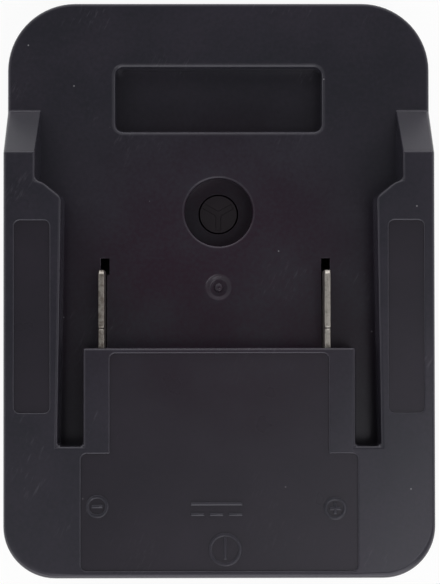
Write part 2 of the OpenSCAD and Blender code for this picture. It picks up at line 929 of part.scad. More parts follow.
// Sliding latch: plate with two spring wings, hook below, skirt behind the end wall
module release_latch() {
    x_plate = button_w / 2 + skirt_t;
    hook_tip_l = hook_l / 3;
    color("#333136")
        difference() {
            union() {
                block([-x_plate, y_latch, z_latch], [x_plate, y_button, z_latch_top]);
                block(
                    [-x_wing, y_pocket - wing_l / 2, z_latch],
                    [x_wing, y_pocket + wing_l / 2, z_latch_top]
                );
                block([-x_plate, y_skirt, z_latch], [x_plate, y_button, z_skirt]);
                across(-hook_w / 2, hook_w / 2)
                    polygon([
                        [y_hook_start, z_latch + join], [y_hook_start, z_back], [y_hook - hook_tip_l, z_hook],
                        [y_hook, z_hook], [y_hook, z_latch + join]
                    ]);
                for (s = sides)
                    post(s * x_spring, y_pocket, z_latch_top - join, z_latch_top + spigot_h, spigot_r);
            }
            for (s = sides)
                translate([s * x_peg, y_skirt - join, z_peg])
                    rotate([-90, 0, 0])
                        cylinder(h = skirt_t + 2 * join, r = peg_r + fit_gap);
        }
}

// Thumb button with finger ribs, pegged into the latch's skirt
module release_button() {
    rib_pitch = button_h / (rib_count + 1);
    rib_margin = 2;
    color("#3a383d") {
        block([-button_w / 2, y_button, z_button], [button_w / 2, y_button_face, z_button_top]);
        for (k = [1 : rib_count])
            across(rib_margin - button_w / 2, button_w / 2 - rib_margin)
                translate([y_button_face, z_button + k * rib_pitch])
                    polygon([
                        [-rib_h, -rib_pitch / 3], [0, -rib_pitch / 3], [rib_h, -rib_pitch / 6],
                        [rib_h, rib_pitch / 6], [0, rib_pitch / 3], [-rib_h, rib_pitch / 3]
                    ]);
        for (s = sides)
            translate([s * x_peg, y_skirt, z_peg])
                rotate([-90, 0, 0])
                    cylinder(h = skirt_t + join, r = peg_r);
    }
}

// Compression spring between the latch and the seat floor, as one round wire
module latch_spring(s) {
    wire_r = spring_wire_d / 2;
    coil_r = spring_d / 2 - wire_r;
    low = z_latch_top + wire_r;
    high = z_ceiling - wire_r;
    curl_rings = 8;
    wire_sides = 6;
    rings = spring_turns * curl_rings;
    pitch = (high - low) / spring_turns;
    slope = atan2(pitch, 2 * PI * coil_r);
    points = [
        for (k = [0 : rings])
            for (j = [0 : wire_sides - 1])
                let (
                    turn = 360 * k / curl_rings,
                    a = 360 * j / wire_sides,
                    out = coil_r + wire_r * cos(a),
                    along = -wire_r * sin(a) * sin(slope)
                )
                [
                    out * cos(turn) - along * sin(turn),
                    out * sin(turn) + along * cos(turn),
                    low + (high - low) * k / rings + wire_r * sin(a) * cos(slope)
                ]
    ];
    walls = [
        for (k = [0 : rings - 1])
            for (j = [0 : wire_sides - 1])
                let (
                    a = k * wire_sides + j,
                    b = k * wire_sides + (j + 1) % wire_sides
                )
                each [[a, a + wire_sides, b], [b, a + wire_sides, b + wire_sides]]
    ];
    last = rings * wire_sides;
    ends = [
        for (j = [1 : wire_sides - 2])
            each [[0, j, j + 1], [last, last + j + 1, last + j]]
    ];
    echo(spring_gap = pitch * cos(slope) - spring_wire_d);
    translate([s * x_spring, y_pocket, 0])
        polyhedron(points, concat(walls, ends));
}

module left_latch_spring() {
    color("#a9adb1")
        latch_spring(left);
}

module right_latch_spring() {
    color("#a9adb1")
        latch_spring(right);
}

module centre_screw() {
    color("#2f2f31")
        translate([0, y_well, z_centre_head])
            rotate([180, 0, 0])
                screw(centre_screw_r, centre_screw_l, centre_head_r, centre_head_h, 3, 0.8, 0.94);
}

module case_screws() {
    color("#3a3b3d")
        for (p = case_places)
            translate([p[0], p[1], z_case_head])
                screw(case_screw_r, case_screw_l, case_head_r, case_head_h, 4);
}

front_shell();
back_shell();
negative_blade();
positive_blade();
blade_retainer();
retainer_screws();
contact_block();
negative_clip();
positive_clip();
negative_lead();
positive_lead();
negative_sleeves();
positive_sleeves();
release_latch();
release_button();
left_latch_spring();
right_latch_spring();
centre_screw();
case_screws();
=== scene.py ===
import math

import bmesh
import bpy
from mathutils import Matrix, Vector


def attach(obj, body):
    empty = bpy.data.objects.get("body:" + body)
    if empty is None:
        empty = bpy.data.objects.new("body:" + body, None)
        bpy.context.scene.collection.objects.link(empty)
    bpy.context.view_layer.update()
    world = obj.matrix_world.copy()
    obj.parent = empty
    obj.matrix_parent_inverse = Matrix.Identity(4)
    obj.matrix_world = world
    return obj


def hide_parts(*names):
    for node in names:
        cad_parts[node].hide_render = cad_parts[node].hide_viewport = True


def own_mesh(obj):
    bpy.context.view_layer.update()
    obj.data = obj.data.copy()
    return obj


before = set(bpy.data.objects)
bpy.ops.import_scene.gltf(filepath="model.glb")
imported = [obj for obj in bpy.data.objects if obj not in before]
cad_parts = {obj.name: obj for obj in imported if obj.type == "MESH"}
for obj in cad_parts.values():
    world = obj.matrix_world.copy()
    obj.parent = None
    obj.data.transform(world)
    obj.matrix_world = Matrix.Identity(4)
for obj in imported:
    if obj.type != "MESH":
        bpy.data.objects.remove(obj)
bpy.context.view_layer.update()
mm = 0.001

# camera above the seat, close to straight down, matched to the shell's edges in the photograph
cameraSetup = {
    "place": (-3.2, -8.44, 451.15),  # mm
    "turn": (0.0182, -0.0081, -0.0012),  # radians
    "lens": 146.04,  # mm, and the width of the sensor
    "sensor": 36.0,
    "clipStart": 0.01,  # m
}


def addCamera(setup):
    data = bpy.data.cameras.new("photoCamera")
    data.lens = setup["lens"]
    data.sensor_width = setup["sensor"]
    data.clip_start = setup["clipStart"]
    camera = bpy.data.objects.new("photoCamera", data)
    camera.location = Vector(setup["place"]) * mm
    camera.rotation_euler = setup["turn"]
    bpy.context.scene.collection.objects.link(camera)
    bpy.context.scene.camera = camera
    print("camera in place")


addCamera(cameraSetup)


def linear(hexColour):
    # sRGB hex to the linear colour that the shaders take
    channels = [int(hexColour[place:place + 2], 16) / 255 for place in (1, 3, 5)]
    return [c / 12.92 if c <= 0.04045 else ((c + 0.055) / 1.055) ** 2.4 for c in channels] + [1.0]


def addNode(tree, kind, settings=None, links=None):
    # settings are node properties or socket values, links are the sockets that feed this node
    node = tree.nodes.new(kind)
    for name, value in (settings or {}).items():
        if isinstance(name, int) or name in node.inputs:
            node.inputs[name].default_value = value
        else:
            setattr(node, name, value)
    for name, socket in (links or {}).items():
        tree.links.new(socket, node.inputs[name])
    return node


def newMaterial(name):
    material = bpy.data.materials.new(name)
    material.use_nodes = True
    material.node_tree.nodes.clear()
    return material, material.node_tree


# sizes of the satin skin's patterns, in mm; the eroded grain is drawn coarser than life so that it shows
satinSizes = {
    "grain": 0.30,
    "grainDepth": 0.02,
    "cloud": 11.0,
    "mottle": 0.7,
    "seatShadeCentre": (0, -4, 8),  # below the middle of the seat, round which a darker violet cast is painted on as shade
    "seatShadeReach": (24.0, 46.0),
    "seatShadeLow": 20.0,  # not below the seam
    "streak": (0.4, 2.6, 2.6),
    "streakTurn": 0.45,  # radians from the slide direction
    "streakField": 12.0,
    "recess": (39.62, 0.1),  # level of the panel and pads, which are duller and get painted shade, and its reach
    "speckGap": 6.5,
    "speck": 0.17,
}

# strengths and colours of the same patterns
# a pair of shares is where a pattern sets in and where it is full
satinLook = {
    "smear": (0.2, 0.9),
    "mottle": (1.6, -0.8),  # gain and offset of the mottling in the smears
    "rubbed": (0.56, 0.72),
    "rubbedMost": 0.32,
    "streak": (0.55, 0.76),
    "scuff": "#5f5c64",
    "dust": "#8d8b90",
    # painted shade: a dark violet that half covers the end panel and the pads
    "recess": "#170d17",
    "recessShadeShare": 0.5,
    "gloss": (0.2, 0.8),
    "glossSwing": 0.03,  # change of the roughness by the cloud, in the recesses and on the ramps
    "recessRough": 0.06,
    "rampRough": 0.11,
    "ramp": (0.63, 0.04),  # upward share of the ramps' normals, and its reach
    "grainStrength": 0.18,
    "ior": 1.54,
    "reflection": "#f7f5ff",
}


# moulded ABS with a satin spark-eroded skin: near black with a violet cast, broad soft gloss,
# cloudy handling smears, pale rubbed streaks aslant the slide direction and a few specks of dust; painted shade
# darkens the sunken seat and the end panel and pads
def satinAbs(name, colour, seatShadeColour, smearColour, roughness):
    material, tree = newMaterial(name)
    size, look = satinSizes, satinLook
    coordinates = addNode(tree, "ShaderNodeTexCoord")
    place = coordinates.outputs["Object"]
    height = addNode(tree, "ShaderNodeSeparateXYZ", links={"Vector": place})
    cloud = addNode(tree, "ShaderNodeTexNoise",
                    {"Scale": 1 / (size["cloud"] * mm), "Detail": 3.0, "Roughness": 0.5}, {"Vector": place})

    # painted shade: a darker violet cast over the sunken seat, fading out towards the rails
    away = addNode(tree, "ShaderNodeVectorMath",
                   {"operation": "DISTANCE", 1: [s * mm for s in size["seatShadeCentre"]]}, {0: place})
    near, far = size["seatShadeReach"]
    seatShadeShare = addNode(tree, "ShaderNodeMapRange",
                        {"interpolation_type": "SMOOTHSTEP", "From Min": far * mm, "From Max": near * mm},
                        {"Value": away.outputs["Value"]})
    front = addNode(tree, "ShaderNodeMath", {"operation": "GREATER_THAN", 1: size["seatShadeLow"] * mm},
                    {0: height.outputs["Z"]})
    seatShadeMask = addNode(tree, "ShaderNodeMath", {"operation": "MULTIPLY"},
                        {0: seatShadeShare.outputs["Result"], 1: front.outputs[0]})
    ground = addNode(tree, "ShaderNodeMix", {"data_type": "RGBA", 6: linear(colour), 7: linear(seatShadeColour)},
                     {0: seatShadeMask.outputs[0]})

    # cloudy smears with a mottled edge
    low, high = look["smear"]
    smear = addNode(tree, "ShaderNodeMapRange",
                    {"interpolation_type": "SMOOTHSTEP", "From Min": low, "From Max": high},
                    {"Value": cloud.outputs["Fac"]})
    mottle = addNode(tree, "ShaderNodeTexNoise", {"Scale": 1 / (size["mottle"] * mm), "Detail": 2.0},
                     {"Vector": place})
    gain, offset = look["mottle"]
    spread = addNode(tree, "ShaderNodeMath", {"operation": "MULTIPLY_ADD", 1: gain, 2: offset},
                     {0: mottle.outputs["Fac"]})
    share = addNode(tree, "ShaderNodeMath", {"operation": "ADD", "use_clamp": True},
                    {0: smear.outputs["Result"], 1: spread.outputs[0]})
    smeared = addNode(tree, "ShaderNodeMix", {"data_type": "RGBA", 7: linear(smearColour)},
                      {0: share.outputs[0], 6: ground.outputs[2]})

    # rubbed streaks, only in some fields
    slanted = addNode(tree, "ShaderNodeMapping", {"Rotation": (0, 0, size["streakTurn"])}, {"Vector": place})
    lengthways = addNode(tree, "ShaderNodeMapping", {"Scale": [1 / (s * mm) for s in size["streak"]]},
                         {"Vector": slanted.outputs["Vector"]})
    streak = addNode(tree, "ShaderNodeTexNoise", {"Scale": 1.0, "Detail": 3.0, "Roughness": 0.6},
                     {"Vector": lengthways.outputs["Vector"]})
    field = addNode(tree, "ShaderNodeTexNoise", {"Scale": 1 / (size["streakField"] * mm), "Detail": 1.0},
                    {"Vector": place})
    low, high = look["rubbed"]
    rubbed = addNode(tree, "ShaderNodeMapRange",
                     {"interpolation_type": "SMOOTHSTEP", "From Min": low, "From Max": high,
                      "To Max": look["rubbedMost"]}, {"Value": field.outputs["Fac"]})
    low, high = look["streak"]
    line = addNode(tree, "ShaderNodeMapRange",
                   {"interpolation_type": "SMOOTHSTEP", "From Min": low, "From Max": high},
                   {"Value": streak.outputs["Fac"]})
    scuff = addNode(tree, "ShaderNodeMath", {"operation": "MULTIPLY"},
                    {0: line.outputs["Result"], 1: rubbed.outputs["Result"]})
    scuffed = addNode(tree, "ShaderNodeMix", {"data_type": "RGBA", 7: linear(look["scuff"])},
                      {0: scuff.outputs[0], 6: smeared.outputs[2]})

    # specks of dust, then painted shade on the panel and pads
    dots = addNode(tree, "ShaderNodeTexVoronoi", {"Scale": 1 / (size["speckGap"] * mm), "Randomness": 1.0},
                   {"Vector": place})
    reach = size["speck"] / size["speckGap"]
    speck = addNode(tree, "ShaderNodeMapRange", {"From Min": reach, "From Max": reach / 2},
                    {"Value": dots.outputs["Distance"]})
    dusty = addNode(tree, "ShaderNodeMix", {"data_type": "RGBA", 7: linear(look["dust"])},
                    {0: speck.outputs["Result"], 6: scuffed.outputs[2]})
    level, reachZ = size["recess"]
    recess = addNode(tree, "ShaderNodeMath", {"operation": "COMPARE", 1: level * mm, 2: reachZ * mm},
                     {0: height.outputs["Z"]})
    recessShade = addNode(tree, "ShaderNodeMath", {"operation": "MULTIPLY", 1: look["recessShadeShare"]},
                       {0: recess.outputs[0]})
    shaded = addNode(tree, "ShaderNodeMix", {"data_type": "RGBA", 7: linear(look["recess"])},
                     {0: recessShade.outputs[0], 6: dusty.outputs[2]})

    # gloss that changes with the cloud, in the recesses and on the ramps
    low, high = look["gloss"]
    gloss = addNode(tree, "ShaderNodeMapRange",
                    {"From Min": low, "From Max": high, "To Min": roughness - look["glossSwing"],
                     "To Max": roughness + look["glossSwing"]}, {"Value": cloud.outputs["Fac"]})
    duller = addNode(tree, "ShaderNodeMath", {"operation": "MULTIPLY_ADD", 1: look["recessRough"]},
                     {0: recess.outputs[0], 2: gloss.outputs["Result"]})
    facing = addNode(tree, "ShaderNodeSeparateXYZ", links={"Vector": coordinates.outputs["Normal"]})
    upward, reachUp = look["ramp"]
    ramp = addNode(tree, "ShaderNodeMath", {"operation": "COMPARE", 1: upward, 2: reachUp},
                   {0: facing.outputs["Z"]})
    rougher = addNode(tree, "ShaderNodeMath", {"operation": "MULTIPLY_ADD", 1: look["rampRough"]},
                      {0: ramp.outputs[0], 2: duller.outputs[0]})
    grain = addNode(tree, "ShaderNodeTexNoise", {"Scale": 1 / (size["grain"] * mm), "Detail": 2.0},
                    {"Vector": place})
    bump = addNode(tree, "ShaderNodeBump",
                   {"Strength": look["grainStrength"], "Distance": size["grainDepth"] * mm},
                   {"Height": grain.outputs["Fac"]})
    skin = addNode(tree, "ShaderNodeBsdfPrincipled",
                   {"IOR": look["ior"], "Specular Tint": linear(look["reflection"])},
                   {"Base Color": shaded.outputs[2], "Roughness": rougher.outputs[0],
                    "Normal": bump.outputs["Normal"]})
    addNode(tree, "ShaderNodeOutputMaterial", links={"Surface": skin.outputs["BSDF"]})
    return material


# patterns of the worked metals: sizes in mm, shares, and the swing of the roughness
metalLook = {
    "tarnish": (0.40, 0.72),
    "shadeHalf": 20.0,  # distance from the middle at which the painted shade of a side is full
    "gloss": (-0.08, 0.12),
    "lineStrength": 0.2,
    "lineDepth": 0.01,
}


# metal that was rolled or drawn along one direction: fine lines, uneven tarnish, and painted shade towards one
# side where asked
def workedMetal(name, colour, tarnish, roughness, lineSize, tarnishSize=6.0, leftShade=0.0):
    material, tree = newMaterial(name)
    look = metalLook
    place = addNode(tree, "ShaderNodeTexCoord").outputs["Object"]
    lines = addNode(tree, "ShaderNodeMapping", {"Scale": [1 / (size * mm) for size in lineSize]},
                    {"Vector": place})
    grain = addNode(tree, "ShaderNodeTexNoise", {"Scale": 1.0, "Detail": 3.0},
                    {"Vector": lines.outputs["Vector"]})
    patch = addNode(tree, "ShaderNodeTexNoise",
                    {"Scale": 1 / (tarnishSize * mm), "Detail": 5.0, "Roughness": 0.6}, {"Vector": place})
    low, high = look["tarnish"]
    dull = addNode(tree, "ShaderNodeMapRange", {"From Min": low, "From Max": high},
                   {"Value": patch.outputs["Fac"]})
    # painted shade: more of the tarnish colour towards the left, less towards the right
    side = addNode(tree, "ShaderNodeSeparateXYZ", links={"Vector": place})
    reach = look["shadeHalf"] * mm
    sideShade = addNode(tree, "ShaderNodeMapRange",
                   {"From Min": -reach, "From Max": reach, "To Min": leftShade, "To Max": -leftShade},
                   {"Value": side.outputs["X"]})
    tarnishAndShade = addNode(tree, "ShaderNodeMath", {"operation": "ADD", "use_clamp": True},
                   {0: dull.outputs["Result"], 1: sideShade.outputs["Result"]})
    tone = addNode(tree, "ShaderNodeMix", {"data_type": "RGBA", 6: linear(colour), 7: linear(tarnish)},
                   {0: tarnishAndShade.outputs[0]})
    smoother, rougher = look["gloss"]
    gloss = addNode(tree, "ShaderNodeMapRange", {"To Min": roughness + smoother, "To Max": roughness + rougher},
                    {"Value": grain.outputs["Fac"]})
    bump = addNode(tree, "ShaderNodeBump",
                   {"Strength": look["lineStrength"], "Distance": look["lineDepth"] * mm},
                   {"Height": grain.outputs["Fac"]})
    skin = addNode(tree, "ShaderNodeBsdfPrincipled", {"Metallic": 1.0}, {
        "Base Color": tone.outputs[2], "Roughness": gloss.outputs["Result"], "Normal": bump.outputs["Normal"]})
    addNode(tree, "ShaderNodeOutputMaterial", links={"Surface": skin.outputs["BSDF"]})
    return material


# patterns of the plain skins: sizes in mm and the swing of the roughness
evenLook = {"cloud": 5.0, "gloss": 0.06, "grainStrength": 0.15, "grainDepth": 0.02}


# plain moulded, extruded or dip-coated skin: one colour, faint mottling, fine grain
def evenSkin(name, colour, paler, roughness, ior, grainSize):
    material, tree = newMaterial(name)
    look = evenLook
    place = addNode(tree, "ShaderNodeTexCoord").outputs["Object"]
    grain = addNode(tree, "ShaderNodeTexNoise", {"Scale": 1 / (grainSize * mm), "Detail": 3.0},
                    {"Vector": place})
    cloud = addNode(tree, "ShaderNodeTexNoise", {"Scale": 1 / (look["cloud"] * mm), "Detail": 3.0},
                    {"Vector": place})
    tone = addNode(tree, "ShaderNodeMix", {"data_type": "RGBA", 6: linear(colour), 7: linear(paler)},
                   {0: cloud.outputs["Fac"]})
    gloss = addNode(tree, "ShaderNodeMapRange",
                    {"To Min": roughness - look["gloss"], "To Max": roughness + look["gloss"]},
                    {"Value": cloud.outputs["Fac"]})
    bump = addNode(tree, "ShaderNodeBump",
                   {"Strength": look["grainStrength"], "Distance": look["grainDepth"] * mm},
                   {"Height": grain.outputs["Fac"]})
    skin = addNode(tree, "ShaderNodeBsdfPrincipled", {"IOR": ior}, {
        "Base Color": tone.outputs[2], "Roughness": gloss.outputs["Result"], "Normal": bump.outputs["Normal"]})
    addNode(tree, "ShaderNodeOutputMaterial", links={"Surface": skin.outputs["BSDF"]})
    return material


finishes = {
    # near black, with painted shade as a darker violet cast in the seat
    "shell_plastic": satinAbs("satinBlackAbs", "#28282f", "#2f1f2c", "#302d36", 0.23),
    # a little paler and duller than the shell
    "button_plastic": satinAbs("satinDarkGreyAbs", "#2e2d33", "#302c33", "#37353c", 0.36),
    # bright nickel over brass, drawn along the blade, with patches of brown tarnish, and painted shade that
    # makes the left blade darker and the right one lighter
    "blade_metal": workedMetal("nickelPlatedBrass", "#c4bfb8", "#857d76", 0.33, (0.08, 3.0, 0.15),
                               tarnishSize=0.7, leftShade=0.35),
    # warm brown strip, rolled along its length
    "clip_metal": workedMetal("phosphorBronze", "#b98d5a", "#8a6540", 0.32, (0.1, 2.0, 0.1)),
    # cold grey wire, the brightest metal inside
    "spring_steel": workedMetal("springWire", "#b4b7ba", "#8d8f91", 0.25, (0.2, 0.2, 0.4)),
    # pale grey plating without a direction
    "screw_zinc": workedMetal("zincPlatedSteel", "#b9bcc0", "#9a9c9a", 0.33, (0.15, 0.15, 0.15)),
    # phosphate coat under oil: dark, hardly metallic
    "screw_black": evenSkin("blackPhosphateSteel", "#271c27", "#30252f", 0.40, 1.46, 0.2),
    # dark grey and matt, then deep black with a waxy gloss
    "insulator_plastic": evenSkin("darkNylon", "#2c2b2e", "#353438", 0.52, 1.53, 0.25),
    "latch_plastic": evenSkin("blackAcetal", "#1f1e21", "#27262a", 0.36, 1.48, 0.3),
    # soft matt rubber in the two lead colours
    "black_silicone": evenSkin("blackSilicone", "#19191a", "#222223", 0.55, 1.41, 0.2),
    "red_silicone": evenSkin("redSilicone", "#a01d1b", "#ae2a24", 0.55, 1.41, 0.2),
    # black tube with a slight shine
    "sleeve_plastic": evenSkin("shrunkPolyolefin", "#1c1c1d", "#272728", 0.45, 1.50, 0.5),
}


def pick(*pieces):
    # only these pieces are selected, the first one is active
    bpy.ops.object.select_all(action="DESELECT")
    for piece in pieces:
        piece.select_set(True)
    bpy.context.view_layer.objects.active = pieces[0]


def dress(piece, body, slot, *nodes):
    # finish of a piece, the body that it moves with and the nodes that it stands for
    piece.data.materials.clear()
    piece.data.materials.append(finishes[slot])
    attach(piece, body)
    if nodes:
        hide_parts(*nodes)


# how meshes are worked: lengths in m, angles in degrees
meshWork = {
    "merge": 2e-6,  # corners nearer than this are one, on solids and on new pieces
    "mergeNew": 1e-6,
    "flat": 0.3,  # faces that meet at less are one face, on solids and on marks
    "flatMark": 1.0,
    "bend": 20.0,  # edges that bend by less aren't rounded
    "smooth": 35.0,  # edges that bend by less look smooth, on solids and on new pieces
    "smoothNew": 40.0,
    "along": 0.9,  # share of an edge's direction that counts as along an axis
}


def copyNode(node, name, cuts=()):
    # a free copy of a CAD node, with its loose triangles merged into clean flat faces
    # the cuts are planes, a place in mm and a direction, that keep a face from closing round a hole
    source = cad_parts[node]
    piece = source.copy()
    piece.data = source.data.copy()
    piece.parent = None
    piece.name = name
    for key in list(piece.keys()):
        del piece[key]
    bpy.context.scene.collection.objects.link(piece)
    pick(piece)
    bpy.ops.object.mode_set(mode="EDIT")
    bpy.ops.mesh.select_all(action="SELECT")
    bpy.ops.mesh.remove_doubles(threshold=meshWork["merge"])
    for place, direction in cuts:
        bpy.ops.mesh.select_all(action="SELECT")
        bpy.ops.mesh.bisect(plane_co=Vector(place) * mm, plane_no=direction)
        bpy.ops.mesh.mark_seam()
    bpy.ops.mesh.select_all(action="SELECT")
    bpy.ops.mesh.dissolve_limited(angle_limit=math.radians(meshWork["flat"]), delimit={"SEAM"})
    bpy.ops.object.mode_set(mode="OBJECT")
    return piece


def roundEdges(piece, rules, segments=4):
    # each rule is a radius in mm, or a function that gives it, and a test
    # both look at an edge's middle, and the test also at its direction and the bend of its faces
    pick(piece)
    bpy.ops.object.mode_set(mode="EDIT")
    mesh = bmesh.from_edit_mesh(piece.data)
    weights = mesh.edges.layers.float.new("bevel_weight_edge")
    chosen = []
    for edge in mesh.edges:
        bend = math.degrees(edge.calc_face_angle_signed(0))
        if abs(bend) < meshWork["bend"]:
            continue
        middle = (edge.verts[0].co + edge.verts[1].co) / 2 / mm
        along = (edge.verts[1].co - edge.verts[0].co).normalized()
        for radius, test in rules:
            if test(middle, along, bend):
                chosen.append((edge, radius(middle) if callable(radius) else radius))
                break
    widest = max(radius for edge, radius in chosen)
    for edge, radius in chosen:
        edge[weights] = radius / widest
    bmesh.update_edit_mesh(piece.data)
    bpy.ops.object.mode_set(mode="OBJECT")
    rounding = piece.modifiers.new("rounding", "BEVEL")
    rounding.limit_method = "WEIGHT"
    rounding.width = widest * mm
    rounding.segments = segments
    rounding.use_clamp_overlap = False
    bpy.ops.object.modifier_apply(modifier="rounding")
    smoothFaces(piece, meshWork["smooth"])
    print(piece.name, "rounded,", len(piece.data.polygons), "faces")


def smoothFaces(piece, angle):
    # smooth rounds, flat faces that stay flat
    pick(piece)
    bpy.ops.object.shade_smooth()
    bpy.ops.object.mode_set(mode="EDIT")
    bpy.ops.mesh.select_mode(type="EDGE")
    bpy.ops.mesh.select_all(action="DESELECT")
    bpy.ops.mesh.edges_select_sharp(sharpness=math.radians(angle))
    bpy.ops.mesh.mark_sharp()
    bpy.ops.mesh.select_mode(type="VERT")
    bpy.ops.object.mode_set(mode="OBJECT")
    evening = piece.modifiers.new("evening", "WEIGHTED_NORMAL")
    evening.keep_sharp = True
    bpy.ops.object.modifier_apply(modifier="evening")


def anyEdge(middle, along, bend):
    return True


# outline of the body, seen from above, in mm
bodyPlan = {"halfWidth": 37.5, "halfLength": 50.65, "entryCorner": 12.0, "stopCorner": 9.0, "near": 0.06}


def onOutline(middle):
    # straight sides and round corners
    plan = bodyPlan
    radius = plan["entryCorner"] if middle.y > 0 else plan["stopCorner"]
    dx = abs(middle.x) - (plan["halfWidth"] - radius)
    dy = abs(middle.y) - (plan["halfLength"] - radius)
    if dx > 0 and dy > 0:
        return abs(math.hypot(dx, dy) - radius) < plan["near"]
    return min(abs(dx - radius), abs(dy - radius)) < plan["near"]


def outlineAt(level):
    # test for the edges of the outline at one level
    def test(middle, along, bend):
        return abs(middle.z - level) < bodyPlan["near"] and onOutline(middle)

    return test


def inBoxes(middle, boxes):
    # in one of the boxes, given by two corners in mm, or in its mirror image on the left
    side = (abs(middle.x), middle.y, middle.z)
    return any(all(low[k] <= side[k] <= high[k] for k in range(3)) for low, high in boxes)


# front shell: the moulded battery seat, with the edges of its own solid rounded
frontShell = {
    "cuts": [((0, 0, 0), (1, 0, 0)), ((0, -5, 0), (0, 1, 0))],
    "seam": 20.0,  # levels in mm, as on the solid
    "floor": 30.0,
    "lip": 36.0,
    "top": 40.0,
    "touch": 0.01,  # how near a corner has to be to count as there
    "wall": 32.0,  # inner face of the rails, which leans by the draft from its top to its foot
    "wallEnds": (-27.8, 32.5),
    "draft": 0.4,
    "lipEdge": (27.3, 28.2),  # where the lips' lower edges lie, and how far they stand further in
    "lipDraft": 0.45,
    "slotCorner": (19.0, 2.3),  # where the right blade's slot runs into its floor notch
    "slotHalf": (0.67, 0.75),  # half width of the slot there, on the solid and, without a step, here
    "slotLow": 25.0,
    "dotReach": 0.85,  # the moulding mark's dot: reach, level and rise of its middle
    "dotLevel": 29.9,
    "dotPeak": 0.28,
    "markReach": 2.3,  # the whole mark: reach and lower end
    "markLow": 29.5,
    "wellY": 13.4,  # the well: middle, reach, lower end and reach of the sink in its bottom
    "wellReach": 6.1,
    "wellLow": 19.9,
    "sinkReach": 3.8,
    "bladeBands": ((-21.4, -19.3), (18.1, 19.9)),  # x of the blades' slots
    "faceY": -10.65,  # front of the terminal block
    "slotY": -27.7,  # stop end of the side slots
    "lipStart": (15, 19),  # y of the lips' corners at the entry end
    "rimEase": 5.0,  # length over which the rim grows round the stop end's corners
    "seamLine": 0.25,  # radii in mm
    "railRim": 0.6,
    "cornerRim": 1.25,
    "stopRim": 0.95,
    "lipTop": 0.55,
    "lipCorner": 0.8,
    "blockFace": 0.6,
    "rampTop": 0.25,
    "pocketRim": 0.9,
    "wellRim": 0.55,
    "markRim": 0.3,
    "markDot": 0.2,
    "sinkEdge": 0.05,
    "slotEnd": 0.9,
    "recessEdge": 0.26,
    "wallFoot": 0.5,
    "bladeSlot": 0.12,
    "smallEdge": 0.3,
}

# boxes round its features: low and high corner in mm, on the right where both sides are alike
seatBoxes = {
    # panel on the end block, its neck on the terminal block and the pads on the rails
    "recess": [((0, -49.4, 39.5), (24.1, -28.9, 40.1)), ((0, -29.0, 39.5), (19.1, -11.5, 40.1)),
               ((29.4, -22.0, 39.5), (35.7, 11.6, 40.1))],
    "bladeSlot": [((0, -10.5, 29.9), (22, 5.4, 30.1))],
    "bladeMouth": [((0, -13.2, 25), (22, 5.4, 38))],
    "pocket": [((0, 27.8, 23.9), (18.4, 39.2, 30.1))],
    "rampTop": [((31.5, 23.0, 39), (38, 24, 40.1))],
    "rampInside": [((31.4, 23.3, 29.9), (32.1, 31.6, 40.1))],
    "wallFoot": [((31.3, 15.0, 29.9), (32.1, 31.4, 30.1))],
    # inside the end block and the terminal block
    "hollow": [((0, -48.3, 0), (35.2, -30.0, 37.7)), ((0, -30.1, 0), (22.05, -12.9, 37.7))],
}


def leanWalls(mesh, size):
    # the rails' inner faces and the lips lean out of the mould, and the right blade's slot loses a step
    touch = size["touch"]
    stopEnd, entryEnd = size["wallEnds"]
    lipIn, lipOut = size["lipEdge"]
    slotX, slotY = size["slotCorner"]
    solidHalf, half = size["slotHalf"]
    for vert in mesh.verts:
        x, y, z = vert.co / mm
        onWall = abs(abs(x) - size["wall"]) < touch and stopEnd < y < entryEnd
        if onWall and z > size["floor"] - bodyPlan["near"]:
            lean = size["draft"] * (size["top"] - z) / (size["top"] - size["floor"])
            vert.co.x -= math.copysign(lean * mm, x)
        if lipIn < abs(x) < lipOut and abs(z - size["lip"]) < touch:
            vert.co.x -= math.copysign(size["lipDraft"] * mm, x)
        if abs(y - slotY) < touch and abs(abs(x - slotX) - solidHalf) < touch and z > size["slotLow"]:
            vert.co.x = (slotX + math.copysign(half, x - slotX)) * mm


def pointDot(mesh, size):
    # the mark's dot comes to a blunt point, and the cut's seam across it goes
    def onDot(vert):
        x, y, z = vert.co / mm
        return math.hypot(x, y) < size["dotReach"] and abs(z - size["dotLevel"]) < size["touch"]

    def onSeam(vert):
        return onDot(vert) and abs(vert.co.x) < meshWork["mergeNew"]

    across = [edge for edge in mesh.edges if all(onSeam(vert) for vert in edge.verts)]
    bmesh.ops.dissolve_edges(mesh, edges=across)
    dotTop = [face for face in mesh.faces if all(onDot(vert) for vert in face.verts)]
    bmesh.ops.poke(mesh, faces=dotTop, offset=size["dotPeak"] * mm)


def shapeSeat(piece, size):
    pick(piece)
    bpy.ops.object.mode_set(mode="EDIT")
    mesh = bmesh.from_edit_mesh(piece.data)
    leanWalls(mesh, size)
    pointDot(mesh, size)
    bmesh.update_edit_mesh(piece.data)
    bpy.ops.mesh.select_all(action="SELECT")
    bpy.ops.mesh.remove_doubles(threshold=meshWork["merge"])
    bpy.ops.object.mode_set(mode="OBJECT")


